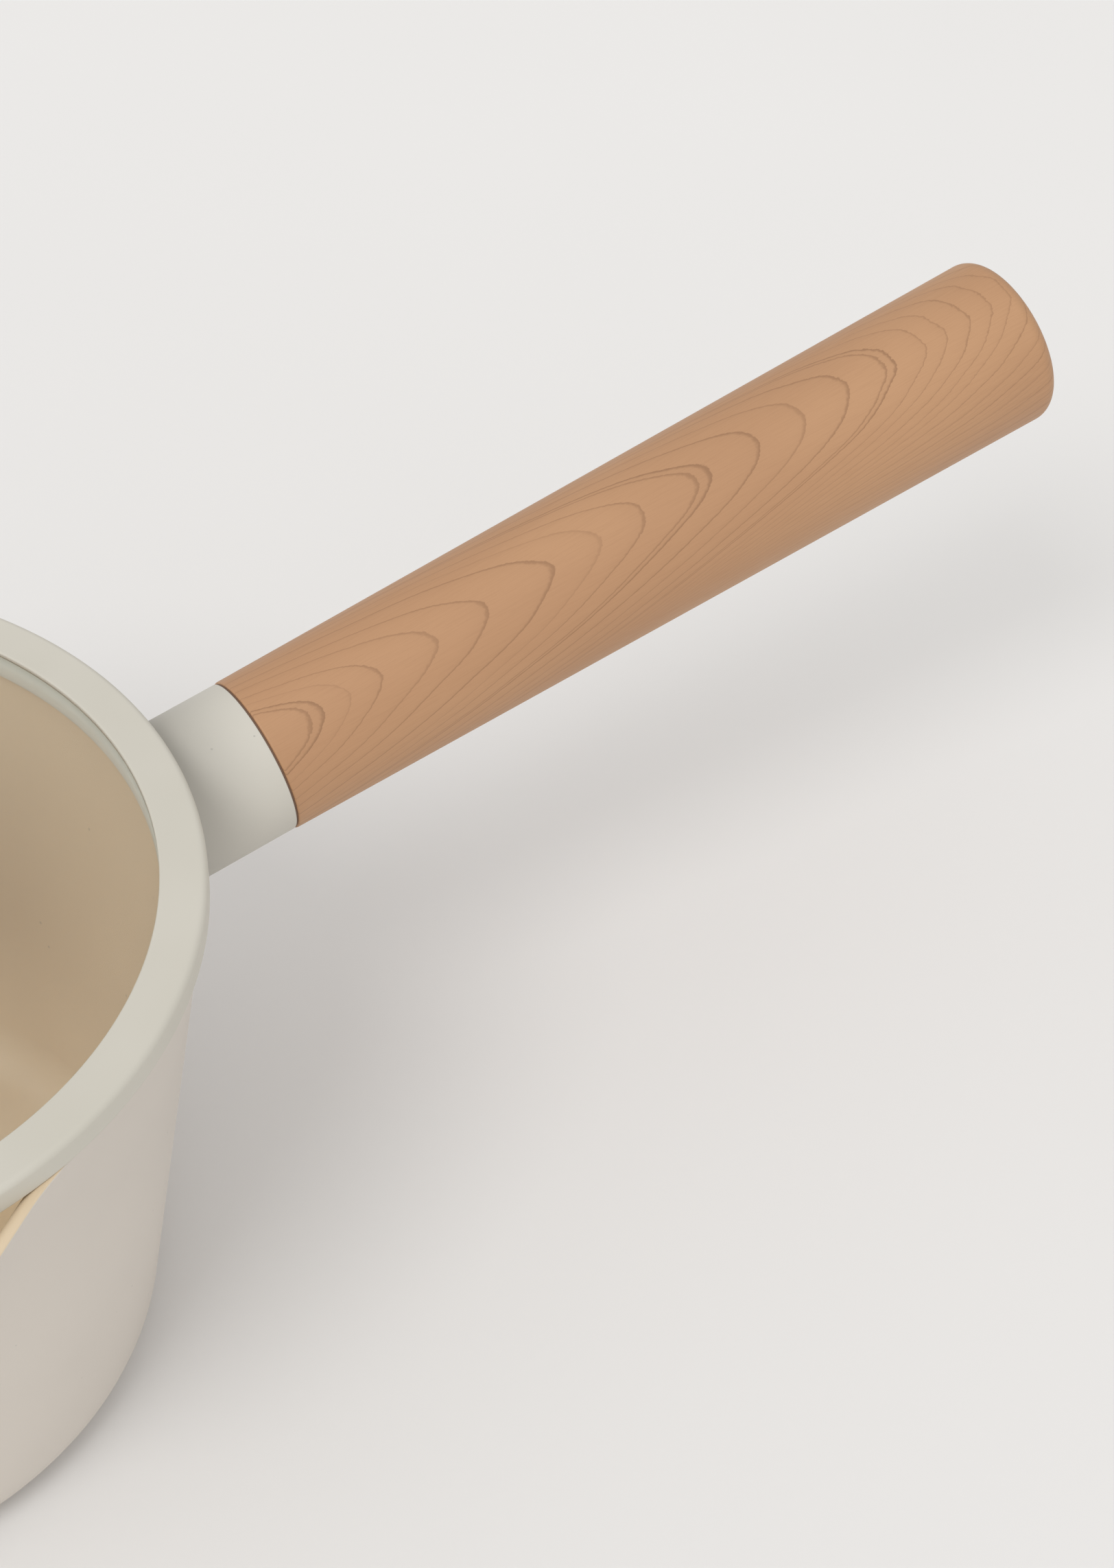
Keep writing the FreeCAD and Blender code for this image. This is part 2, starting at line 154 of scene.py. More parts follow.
# ---- Lines that follow from the sizes ----
COLLAR_END = (gasket_low.x + SEAM_GASKET_RADIUS * math.sin(TILT)) / math.cos(TILT)
GRIP_START = (gasket_high.x - SEAM_GASKET_RADIUS * math.sin(TILT)) / math.cos(TILT)
GRIP_END = GRIP_START + GRIP_LENGTH - FACET_GAP
GRIP_TAPER = (GRIP_END_RADIUS - GRIP_START_RADIUS) / (GRIP_END - GRIP_START)
WALL_SLOPE = (RIM_RADIUS - BASE_RADIUS) / RIM_HEIGHT
WALL_ACROSS = WALL * math.hypot(1.0, WALL_SLOPE)
HANDLE_AXIS = np.array([math.cos(TILT), 0.0, math.sin(TILT)])
HANDLE_UP = np.array([-math.sin(TILT), 0.0, math.cos(TILT)])
HANDLE_SIDE = np.array([0.0, 1.0, 0.0])
HANDLE_ORIGIN = np.array([0.0, 0.0, AXIS_HEIGHT])


# ---- Making meshes ----
def arc(first, last, turn, steps):
    """Points on an arc from one radius vector to another, turned evenly.

    Each is the two vectors added with weights sin((1 - t) turn) and sin(t turn), over sin(turn).
    """
    share = np.linspace(0, 1, steps + 1)[:, None]
    return (first * np.sin((1 - share) * turn) + last * np.sin(share * turn)) / math.sin(turn)


def rounded(corners, steps=8, support=0.25 * MM):
    """Profile as an array of (radius, height) from corners (radius, height[, rounding]).

    A rounded corner is an arc tangent to both sides, sampled evenly by angle, with one more point
    a little way along each side so that the shading of the flats stays flat.
    """
    points = []
    count = len(corners)
    for index, corner in enumerate(corners):
        here = np.array(corner[:2], float)
        radius = corner[2] if len(corner) > 2 else 0.0
        if radius == 0.0:
            points.append(here)
            continue
        back = np.array(corners[index - 1][:2], float) - here
        ahead = np.array(corners[(index + 1) % count][:2], float) - here
        back_length = np.linalg.norm(back)
        ahead_length = np.linalg.norm(ahead)
        back /= back_length
        ahead /= ahead_length
        half = math.acos(np.clip(back @ ahead, -1, 1)) / 2
        reach = radius / math.tan(half)
        middle = (back + ahead) / np.linalg.norm(back + ahead)
        centre = here + middle * radius / math.sin(half)
        first = here + back * reach - centre
        last = here + ahead * reach - centre
        points.append(here + back * (reach + min(support, (back_length - reach) / 4)))
        points.extend(centre + arc(first, last, math.pi - 2 * half, steps))
        points.append(here + ahead * (reach + min(support, (ahead_length - reach) / 4)))
    return np.array(points)


def divided(profile, longest):
    """The same profile with its long steps divided into equal shorter ones."""
    rows = [profile[0]]
    for point in profile[1:]:
        start = rows[-1]
        pieces = max(1, int(np.linalg.norm(point - start) / longest))
        rows.extend(start + (point - start) * step / pieces for step in range(1, pieces + 1))
    return np.array(rows)


def angles(columns):
    """Angles of evenly spaced columns, once round without the repeated last one."""
    return np.linspace(0, 2 * math.pi, columns, endpoint=False)


def turned(profile, columns):
    """Points of a profile (radius, height) carried round the pan's upright axis."""
    angle = angles(columns)
    radius, height = profile[:, 0][:, None], profile[:, 1][:, None]
    return np.stack([radius * np.cos(angle), radius * np.sin(angle), height + 0 * angle], axis=-1)


def turned_on_handle(profile, columns):
    """Points of a profile (radius, place along the axis) carried round the handle's axis."""
    angle = angles(columns)
    radius, along = profile[:, 0][:, None], profile[:, 1][:, None]
    return (HANDLE_ORIGIN + along[..., None] * HANDLE_AXIS
            + (radius * np.cos(angle))[..., None] * HANDLE_UP
            + (radius * np.sin(angle))[..., None] * HANDLE_SIDE)


def side_faces(count, columns, ring):
    """Corners of the faces between neighbouring rows, and the row that each face starts from."""
    bands = count if ring else count - 1
    row = np.repeat(np.arange(bands), columns)
    column = np.tile(np.arange(columns), bands)
    beside = (column + 1) % columns
    above = (row + 1) % count
    quads = np.stack([row * columns + column, row * columns + beside,
                      above * columns + beside, above * columns + column], axis=1)
    return quads, row


def end_faces(count, columns):
    """Triangles that close the first and the last row, each fan about its own middle point."""
    at = np.arange(columns)
    after = (at + 1) % columns
    low = np.full(columns, count * columns)
    high = low + 1
    last = (count - 1) * columns
    return np.concatenate([np.stack([low, after, at], axis=1),
                           np.stack([high, last + at, last + after], axis=1)])


def signed_volume(points, triangles):
    """Six times the volume inside closed triangles: the sum of a . (b x c) over their corners."""
    corner = points[triangles]
    return np.einsum("ij,ij->i", corner[:, 0], np.cross(corner[:, 1], corner[:, 2])).sum()


def skin(name, rows, materials, ring=False, row_material=None):
    """Mesh from an array of points (rows, columns, 3) whose columns close round.

    With ring the rows close as well, which makes a tube. Without it each end row is closed by one
    point at its middle. Faces are turned to point outwards by the sign of the volume inside.
    """
    count, columns = rows.shape[:2]
    points = rows.reshape(-1, 3)
    quads, row = side_faces(count, columns, ring)
    slots = np.zeros(len(quads), int) if row_material is None else row_material[row]
    volume = signed_volume(points, quads[:, :3]) + signed_volume(points, quads[:, [0, 2, 3]])
    faces = quads.tolist()
    if not ring:
        points = np.vstack([points, rows[0].mean(axis=0), rows[-1].mean(axis=0)])
        fans = end_faces(count, columns)
        volume += signed_volume(points, fans)
        faces += fans.tolist()
        slots = np.concatenate([slots, np.full(columns, slots[0]), np.full(columns, slots[-1])])
    if volume < 0:
        faces = [face[::-1] for face in faces]
    mesh = bpy.data.meshes.new(name)
    mesh.from_pydata(points.tolist(), [], faces)
    mesh.update()
    mesh.polygons.foreach_set("use_smooth", np.ones(len(faces), bool))
    mesh.polygons.foreach_set("material_index", slots.astype(np.int32))
    for material in materials:
        mesh.materials.append(material)
    piece = bpy.data.objects.new(name, mesh)
    bpy.context.scene.collection.objects.link(piece)
    return piece


# ---- Node tools ----
class Graph:
    """Short way to add nodes to a tree and to link them as they are made."""

    def __init__(self, tree):
        self.tree = tree

    def put(self, socket, value):
        """Link an output to the socket, or set the socket to a plain value."""
        if isinstance(value, bpy.types.NodeSocket):
            self.tree.links.new(value, socket)
        else:
            socket.default_value = value

    def add(self, kind, settings=None, **sockets):
        """New node; settings are its properties, sockets its inputs by name, or _0, _1 by place."""
        node = self.tree.nodes.new(kind)
        for key, value in (settings or {}).items():
            setattr(node, key, value)
        for key, value in sockets.items():
            place = int(key[1:]) if key.startswith("_") else key.replace("_", " ")
            self.put(node.inputs[place], value)
        return node

    def math(self, operation, *values):
        """Output of one Math node."""
        sockets = {"_%d" % place: value for place, value in enumerate(values)}
        return self.add("ShaderNodeMath", {"operation": operation}, **sockets).outputs[0]

    def noise(self, vector, scale, detail=3.0, roughness=0.5):
        """Noise between 0 and 1, most of it between 0.3 and 0.7."""
        return self.add("ShaderNodeTexNoise", None, Vector=vector, Scale=scale, Detail=detail,
                        Roughness=roughness).outputs["Fac"]

    def mix(self, factor, first, second):
        """Colour between two colours."""
        node = self.add("ShaderNodeMix", {"data_type": "RGBA"}, _0=factor, _6=first, _7=second)
        return node.outputs[2]

    def span(self, value, low, high, to_low=0.0, to_high=1.0):
        """Value between two limits carried smoothly to between two others."""
        kind = {"interpolation_type": "SMOOTHSTEP"}
        return self.add("ShaderNodeMapRange", kind, Value=value, From_Min=low, From_Max=high,
                        To_Min=to_low, To_Max=to_high).outputs[0]

    def ridge(self, value, rise, fall):
        """1 between a rise and a fall, each given by its two limits, and 0 outside them."""
        return self.math("MULTIPLY", self.span(value, *rise), self.span(value, *fall, 1.0, 0.0))

    def stretched(self, vector, along):
        """The vector with its first part scaled, which lengthens a pattern along the grain."""
        return self.add("ShaderNodeMapping", None, Vector=vector,
                        Scale=(along, 1.0, 1.0)).outputs[0]

    def parts(self, vector):
        """The three parts of a vector."""
        return self.add("ShaderNodeSeparateXYZ", None, Vector=vector).outputs

    def length(self, across, deep):
        """Root of the sum of two squares."""
        squares = self.math("ADD", self.math("MULTIPLY", across, across),
                            self.math("MULTIPLY", deep, deep))
        return self.math("SQRT", squares)

    def from_axis(self, vector):
        """Distance from the upright axis."""
        across, deep, _ = self.parts(vector)
        return self.length(across, deep)

    def fitted(self, value, points):
        """Curve that goes straight from point to point, from (0, 0) to (1, 1)."""
        node = self.add("ShaderNodeFloatCurve", None, Value=value)
        curve = node.mapping.curves[0]
        for across, level in points:
            curve.points.new(across, level)
        for point in curve.points:
            point.handle_type = "VECTOR"
        node.mapping.update()
        return node.outputs[0]


def srgb(red, green, blue):
    """Linear colour with alpha from three display values of 0 to 255."""
    def linear(value):
        value /= 255.0
        return value / 12.92 if value <= 0.04045 else ((value + 0.055) / 1.055) ** 2.4
    return (linear(red), linear(green), linear(blue), 1.0)


# Most of a noise lies between these.
NOISE_SPAN = (0.3, 0.7)
NUMBER = "NodeSocketFloat"
VECTOR = "NodeSocketVector"


def effect(name, inputs, outputs, build):
    """Shader node group with a Vector input, named number inputs and named number outputs."""
    tree = bpy.data.node_groups.new(name, "ShaderNodeTree")
    tree.interface.new_socket("Vector", in_out="INPUT", socket_type=VECTOR)
    for socket_name, value in inputs.items():
        socket = tree.interface.new_socket(socket_name, in_out="INPUT", socket_type=NUMBER)
        socket.default_value = value
    for socket_name in outputs:
        tree.interface.new_socket(socket_name, in_out="OUTPUT", socket_type=NUMBER)
    source = tree.nodes.new("NodeGroupInput").outputs
    result = tree.nodes.new("NodeGroupOutput").inputs
    for socket_name, value in build(Graph(tree), source).items():
        tree.links.new(value, result[socket_name])
    return tree


# ---- Effects ----
PIT_EDGE = (0.05, 0.11)
PIT_CHOICE = (0.93, 0.95)
TEXTURE_HEIGHT = 0.6


def build_coat(graph, source):
    """Sprayed coat: slow mottling, a fine even texture, and a few small pits."""
    mottle = graph.noise(source["Vector"], source["Mottle Scale"], detail=2.0)
    texture = graph.noise(source["Vector"], source["Texture Scale"], detail=2.0, roughness=0.6)
    cells = graph.add("ShaderNodeTexVoronoi", {"feature": "F1"}, Vector=source["Vector"],
                      Scale=source["Pit Scale"])
    near = graph.span(cells.outputs["Distance"], *PIT_EDGE, 1.0, 0.0)
    draw = graph.add("ShaderNodeSeparateColor", None, Color=cells.outputs["Color"]).outputs[0]
    pits = graph.math("MULTIPLY", near, graph.span(draw, *PIT_CHOICE))
    height = graph.math("SUBTRACT", graph.math("MULTIPLY", texture, TEXTURE_HEIGHT), pits)
    return {"Mottle": graph.span(mottle, *NOISE_SPAN), "Pits": pits, "Height": height}


# Where each growth ring ends along the handle, in millimetres, with the strength of its dark
# line. A line at nearly full strength is double.
RINGS = ((107, 0.5), (119.5, 1.0), (125.5, 0.3), (132.7, 0.75), (143.8, 0.6), (155, 0.8),
         (170.6, 0.9), (181, 0.35), (190.6, 0.75), (205.7, 1.0), (218, 0.9), (229.4, 0.6),
         (240.1, 0.85), (250, 1.0), (257, 0.6), (262, 0.55), (268, 0.7), (273.5, 0.6),
         (278, 0.5), (284, 0.7), (291, 0.5), (297, 0.8), (304, 0.5), (312, 0.7), (319, 0.5),
         (327, 0.8), (334, 0.5), (342, 0.7), (350, 0.5))
RING_COUNT = len(RINGS) + 1
RINGS_START = 100.0
RINGS_LENGTH = 260.0

# Limits within one ring, as shares of it, and what the finer figure is made of, in millimetres.
LINE_RISE, LINE_FALL = (0.88, 0.97), (0.98, 1.0)
DOUBLE_RISE, DOUBLE_FALL = (0.68, 0.76), (0.77, 0.79)
DOUBLE_FROM, DOUBLE_STRENGTH = (0.9, 0.97), 0.8
FINE_RISE, FINE_FALL = (0.8, 0.95), (0.95, 1.0)
FINE_PER_MM, FINE_DEPTH, FINE_STRENGTH = 0.31, (3.0, 12.0), 0.35
SLOPE_EASES = (200.0, 285.0)
SWAY_STRETCH, SWAY_SCALE, SWAY_REACH = 0.3, 0.12, 5.0
WAVER_SCALE, WAVER_REACH = 1.3, 1.1
TONE_SCALE = 0.05
LATE_POWER = 4.0
STRAND_STRETCH, STRAND_SCALE = 0.03, 5.0


def crest_depth(graph, source, along, side, up):
    """Depth of a point below the crest line, which turns slowly about the axis.

    It is the turned surface's radius there less the point's own reach towards the crest.
    """
    lean = graph.math("RADIANS", graph.math("ADD", source["Crest Angle"],
                                            graph.math("MULTIPLY", along, source["Crest Twist"])))
    crest = graph.math("ADD", graph.math("MULTIPLY", up, graph.math("COSINE", lean)),
                       graph.math("MULTIPLY", side, graph.math("SINE", lean)))
    radius = graph.math("ADD", source["Radius"], graph.math("MULTIPLY", along, source["Taper"]))
    return graph.math("SUBTRACT", radius, crest)


def unevenness(graph, vector, scale, detail, reach):
    """Noise moved to lie about zero, and scaled by the reach."""
    about_zero = graph.math("SUBTRACT", graph.noise(vector, scale, detail=detail), 0.5)
    return graph.math("MULTIPLY", about_zero, reach)


def ring_number(graph, place):
    """Number of rings up to a place along the axis, with the share of the one it lies in.

    Past either end of the list the same rings run back the other way.
    """
    share = graph.math("DIVIDE", graph.math("SUBTRACT", place, RINGS_START), RINGS_LENGTH)
    ends = [((end - RINGS_START) / RINGS_LENGTH, (index + 1) / RING_COUNT)
            for index, (end, _) in enumerate(RINGS)]
    counted = graph.fitted(graph.math("PINGPONG", share, 1.0), ends)
    return graph.math("MULTIPLY", counted, float(RING_COUNT))


def ring_strength(graph, rings):
    """Strength of the line of the ring that a number lies in."""
    middle = graph.math("ADD", graph.math("FLOOR", rings), 0.5)
    strengths = [((index + 0.5) / RING_COUNT, strength)
                 for index, (_, strength) in enumerate(RINGS)]
    return graph.fitted(graph.math("DIVIDE", middle, float(RING_COUNT)), strengths)


def build_growth(graph, source):
    """Growth rings of a board cut lengthwise, then turned: nested arches along the axis.

    A ring is a plane that leans from the axis, so its place is the distance along the axis plus
    the slope times the depth below the crest line. The slope eases towards the free end. Each ring
    ends in a thin dark line, sharp on its outer side, with now and then a fainter one before it.
    """
    vector = source["Vector"]
    along, side, up = graph.parts(vector)
    depth = crest_depth(graph, source, along, side, up)
    slope = graph.span(along, *SLOPE_EASES, source["Slope"], source["End Slope"])
    long_vector = graph.stretched(vector, SWAY_STRETCH)
    sway = unevenness(graph, long_vector, SWAY_SCALE, 1.0, SWAY_REACH)
    waver = unevenness(graph, vector, WAVER_SCALE, 2.0, WAVER_REACH)
    place = graph.math("ADD", graph.math("ADD", along, graph.math("MULTIPLY", slope, depth)),
                       graph.math("ADD", sway, waver))
    rings = ring_number(graph, place)
    strength = ring_strength(graph, rings)
    part = graph.math("FRACT", rings)
    line = graph.math("MULTIPLY", graph.ridge(part, LINE_RISE, LINE_FALL), strength)
    double = graph.math("MULTIPLY", graph.ridge(part, DOUBLE_RISE, DOUBLE_FALL),
                        graph.span(strength, *DOUBLE_FROM, 0.0, DOUBLE_STRENGTH))
    fine_part = graph.math("FRACT", graph.math("MULTIPLY", place, FINE_PER_MM))
    fine = graph.math("MULTIPLY", graph.ridge(fine_part, FINE_RISE, FINE_FALL),
                      graph.span(depth, *FINE_DEPTH, 0.0, FINE_STRENGTH))
    strands = graph.stretched(vector, STRAND_STRETCH)
    return {"Lines": graph.math("MAXIMUM", graph.math("MAXIMUM", line, double), fine),
            "Late": graph.math("POWER", part, LATE_POWER),
            "Fibre": graph.noise(strands, STRAND_SCALE, roughness=0.6),
            "Tone": graph.noise(long_vector, TONE_SCALE, detail=1.0)}


TURN_SCALE = 1.5


def build_brushed(graph, source):
    """Brushing round the upright axis: noise that changes with radius but hardly with angle."""
    across, deep, up = graph.parts(source["Vector"])
    outwards = graph.math("MULTIPLY", graph.length(across, deep), source["Line Scale"])
    around = graph.math("MULTIPLY", graph.math("ARCTAN2", deep, across), TURN_SCALE)
    spun = graph.add("ShaderNodeCombineXYZ", None, X=outwards, Y=around, Z=up).outputs[0]
    return {"Lines": graph.noise(spun, 1.0, detail=4.0, roughness=0.7)}


coat_effect = effect("sprayed_coat",
                     {"Mottle Scale": 18.0, "Texture Scale": 1400.0, "Pit Scale": 420.0},
                     ("Mottle", "Pits", "Height"), build_coat)
growth_effect = effect("growth_rings",
                       {"Slope": 7.4, "End Slope": 2.6, "Radius": 15.0, "Taper": 0.0,
                        "Crest Angle": 0.0, "Crest Twist": 0.0},
                       ("Lines", "Late", "Fibre", "Tone"), build_growth)
brushed_effect = effect("circular_brushing", {"Line Scale": 2500.0}, ("Lines",), build_brushed)


# ---- Kinds of finish ----
class Look(Graph):
    """Empty node material with its Principled shader, output and Object coordinates."""

    def __init__(self, name):
        self.material = bpy.data.materials.new(name)
        self.material.use_nodes = True
        super().__init__(self.material.node_tree)
        self.tree.nodes.clear()
        self.shader = self.add("ShaderNodeBsdfPrincipled")
        self.end = self.add("ShaderNodeOutputMaterial", None, Surface=self.shader.outputs[0])
        self.place = self.add("ShaderNodeTexCoord").outputs["Object"]

    def feed(self, **sockets):
        """Set or link the shader's sockets by name."""
        for key, value in sockets.items():
            self.put(self.shader.inputs[key.replace("_", " ")], value)

    def surface(self, socket):
        """Send another shader than the Principled one to the output."""
        self.put(self.end.inputs["Surface"], socket)

    def bump(self, height, strength, distance):
        """Normal from a height."""
        return self.add("ShaderNodeBump", None, Strength=strength, Distance=distance,
                        Height=height).outputs[0]

    def between(self, factor, first, second):
        """A shader mixed from two."""
        return self.add("ShaderNodeMixShader", None, _0=factor, _1=first, _2=second).outputs[0]


SHADE_OF_DARK = 0.62
PIT_DARKNESS = 0.6
COAT_DEPTH = 0.05 * MM
COAT_ROUGH_SWING = 0.03


def coated(name, light, dark, rough, mottle=18.0, texture=1400.0, pits=420.0, relief=0.12,
           painted_shadow=None):
    """Matt coat between two close colours.

    A painted shadow, given as two distances from the upright axis and an amount, is a soft darker
    band of painted shade that fades from the first distance to the second.
    """
    look = Look(name)
    coat = look.add("ShaderNodeGroup", {"node_tree": coat_effect}, Vector=look.place,
                    Mottle_Scale=mottle, Texture_Scale=texture, Pit_Scale=pits).outputs
    shade = tuple(SHADE_OF_DARK * value for value in dark[:3]) + (1.0,)
    colour = look.mix(coat["Mottle"], dark, light)
    colour = look.mix(look.math("MULTIPLY", coat["Pits"], PIT_DARKNESS), colour, shade)
    if painted_shadow is not None:
        # Painted shadow: the colour is mixed towards the darker shade close to the upright axis,
        # fading out further along.
        near, far, amount = painted_shadow
        band = look.span(look.from_axis(look.place), near, far, amount, 0.0)
        colour = look.mix(band, colour, shade)
    swing = (rough - COAT_ROUGH_SWING, rough + COAT_ROUGH_SWING)
    look.feed(Base_Color=colour, Roughness=look.span(coat["Mottle"], 0, 1, *swing),
              Normal=look.bump(coat["Height"], relief, COAT_DEPTH))
    return look.material


WOOD_LIGHT = srgb(189, 145, 107)
WOOD_DARK = srgb(183, 139, 102)
WOOD_LINE = srgb(144, 105, 73)
TONE_SPAN = (0.35, 0.65)
FIBRE_SPAN = (0.4, 0.75)
FIBRE_DARKNESS = 0.12
LATE_DARKNESS = 0.12
LINE_DARKNESS = 0.72
WOOD_ROUGH = (0.46, 0.58)
WOOD_RELIEF = 0.12
WOOD_DEPTH = 0.04 * MM
TO_MM = (1000.0, 1000.0, 1000.0)


def wooden(name, turn, shift, radius, taper, crest, twist, slopes):
    """Turned wood: the mapping carries Object coordinates to millimetres on the piece's axis."""
    look = Look(name)
    own = look.add("ShaderNodeMapping", None, Vector=look.place, Location=shift, Rotation=turn,
                   Scale=TO_MM).outputs[0]
    rings = look.add("ShaderNodeGroup", {"node_tree": growth_effect}, Vector=own, Slope=slopes[0],
                     End_Slope=slopes[1], Radius=radius, Taper=taper, Crest_Angle=crest,
                     Crest_Twist=twist).outputs
    body = look.mix(look.span(rings["Tone"], *TONE_SPAN), WOOD_LIGHT, WOOD_DARK)
    body = look.mix(look.math("MULTIPLY", rings["Late"], LATE_DARKNESS), body, WOOD_LINE)
    body = look.mix(look.span(rings["Fibre"], *FIBRE_SPAN, 0.0, FIBRE_DARKNESS), body, WOOD_LINE)
    body = look.mix(look.math("MULTIPLY", rings["Lines"], LINE_DARKNESS), body, WOOD_LINE)
    relief = look.math("SUBTRACT", look.math("MULTIPLY", rings["Fibre"], 0.5), rings["Lines"])
    look.feed(Base_Color=body, Roughness=look.span(rings["Fibre"], *NOISE_SPAN, *WOOD_ROUGH),
              Normal=look.bump(relief, WOOD_RELIEF, WOOD_DEPTH))
    return look.material


METAL_ROUGH_SWING = 0.06
METAL_RELIEF = 0.15
METAL_DEPTH = 0.02 * MM


def metal(name, light, dark, rough, line_scale):
    """Brushed or turned metal."""
    look = Look(name)
    lines = look.add("ShaderNodeGroup", {"node_tree": brushed_effect}, Vector=look.place,
                     Line_Scale=line_scale).outputs["Lines"]
    swing = (rough - METAL_ROUGH_SWING, rough + METAL_ROUGH_SWING)
    look.feed(Base_Color=look.mix(look.span(lines, *NOISE_SPAN), dark, light), Metallic=1.0,
              Roughness=look.span(lines, *NOISE_SPAN, *swing),
              Normal=look.bump(lines, METAL_RELIEF, METAL_DEPTH))
    return look.material


# ---- Finishes ----
def pan_outside_coat():
    """Warm grey coat on the outside of the pan."""
    return coated("pan_outside_coat", srgb(215, 207, 197), srgb(209, 201, 191), 0.50)


def pan_inside_coat():
    """Cream coat on the inside, which flows over the rim."""
    return coated("pan_inside_coat", srgb(223, 203, 173), srgb(216, 195, 165), 0.42, pits=260.0)


def collar_coat_painted_shadow():
    """Pale coat on the collar, with a painted shadow where it meets the pan under the lid's band.
    """
    # The darker band near the pan is painted shadow, standing in for the shade that the lid's band
    # and the pan's rim cast on the collar.
    return coated("collar_coat_painted_shadow", srgb(207, 203, 193), srgb(200, 196, 186), 0.52, pits=380.0,
                  relief=0.25, painted_shadow=(85.0 * MM, 104.0 * MM, 0.68))


def seam_rubber():
    """Dark brown rubber between the collar and the wood."""
    return coated("seam_rubber", srgb(116, 88, 70), srgb(100, 75, 58), 0.7)


def rim_silicone():
    """Matt silicone round the glass."""
    return coated("rim_silicone", srgb(207, 203, 192), srgb(202, 198, 186), 0.62, mottle=30.0,
                  texture=900.0, pits=150.0, relief=0.10)


def knob_base_coat():
    """Pale coat on the foot under the knob."""
    return coated("knob_base_coat", srgb(206, 203, 195), srgb(200, 196, 187), 0.52)


def gasket_silicone():
    """White silicone of the small gasket and grommet under the knob."""
    return coated("gasket_silicone", srgb(212, 212, 206), srgb(204, 203, 196), 0.55)


GRAIN_SLOPES = (7.4, 2.6)
GRIP_SHIFT = (-1000 * AXIS_HEIGHT * math.sin(TILT), 0.0, -1000 * AXIS_HEIGHT * math.cos(TILT))
GRIP_LINE_RADIUS = 1000 * (GRIP_START_RADIUS - GRIP_START * GRIP_TAPER)


def grip_wood():
    """Wood of the handle, the crest of its arches between the top and the -y side."""
    return wooden("grip_wood", (0.0, TILT, 0.0), GRIP_SHIFT, GRIP_LINE_RADIUS, GRIP_TAPER,
                  crest=-57.3, twist=0.165, slopes=GRAIN_SLOPES)


def plug_wood():
    """The same wood in the end plug, cut from another place."""
    shift = (GRIP_SHIFT[0] + 7.0, 3.0, GRIP_SHIFT[2])
    return wooden("plug_wood", (0.0, TILT, 0.0), shift, GRIP_LINE_RADIUS, GRIP_TAPER,
                  crest=40.0, twist=0.0, slopes=GRAIN_SLOPES)


def knob_wood():
    """The same wood in the knob, with its grain lying across the lid."""
    shift = (120.0, 0.0, -1000 * KNOB_BOTTOM)
    return wooden("knob_wood", (0.0, 0.0, math.radians(35)), shift, 1000 * KNOB_TOP_RADIUS, 0.0,
                  crest=-60.0, twist=0.0, slopes=(6.0, 6.0))


def disc_steel():
    """Brushed steel of the disc in the base."""
    return metal("disc_steel", (0.62, 0.61, 0.60, 1.0), (0.50, 0.49, 0.48, 1.0), 0.34, 2500.0)


def fixing_steel():
    """Bright steel of the screws, washers and pins, and of the insert in the boss."""
    return metal("fixing_steel", (0.66, 0.66, 0.66, 1.0), (0.52, 0.52, 0.53, 1.0), 0.28, 5000.0)


def insert_brass():
    """Brass of the insert in the knob."""
    return metal("insert_brass", (0.78, 0.60, 0.30, 1.0), (0.62, 0.46, 0.21, 1.0), 0.30, 5000.0)


GLASS_CLEAR = (0.985, 0.99, 0.985, 1.0)
GLASS_EDGE = (0.955, 0.97, 0.95, 1.0)
GLASS_PASSES = (0.93, 0.94, 0.93, 1.0)
EDGE_WIDTH = 6.0 * MM
HAZE_SCALE = 60.0
HAZE_SPAN = (0.35, 0.75)
HAZE_ROUGH = (0.0, 0.02)


def lid_glass_clear():
    """Clear glass, faintly green towards its edge; light shines through it to what is below."""
    look = Look("lid_glass_clear")
    edge = look.span(look.from_axis(look.place), GLASS_RADIUS - EDGE_WIDTH, GLASS_RADIUS)
    haze = look.noise(look.place, HAZE_SCALE)
    look.feed(Base_Color=look.mix(edge, GLASS_CLEAR, GLASS_EDGE), Transmission_Weight=1.0, IOR=1.5,
              Roughness=look.span(haze, *HAZE_SPAN, *HAZE_ROUGH))
    clear = look.add("ShaderNodeBsdfTransparent", None, Color=GLASS_PASSES).outputs[0]
    path = look.add("ShaderNodeLightPath").outputs
    shown = look.between(path["Is Diffuse Ray"], look.shader.outputs[0], clear)
    look.surface(look.between(path["Is Shadow Ray"], shown, clear))
    return look.material


PAPER_LIGHT = (0.82, 0.81, 0.80, 1.0)
PAPER_DARK = (0.80, 0.79, 0.78, 1.0)
PAPER_SCALE = 6.0


def floor_paper():
    """Pale paper, seen through from below."""
    look = Look("floor_paper")
    tone = look.noise(look.place, PAPER_SCALE, detail=2.0)
    look.feed(Base_Color=look.mix(tone, PAPER_DARK, PAPER_LIGHT), Roughness=0.9,
              Specular_IOR_Level=0.1)
    under = look.add("ShaderNodeNewGeometry").outputs["Backfacing"]
    clear = look.add("ShaderNodeBsdfTransparent").outputs[0]
    look.surface(look.between(under, look.shader.outputs[0], clear))
    return look.material


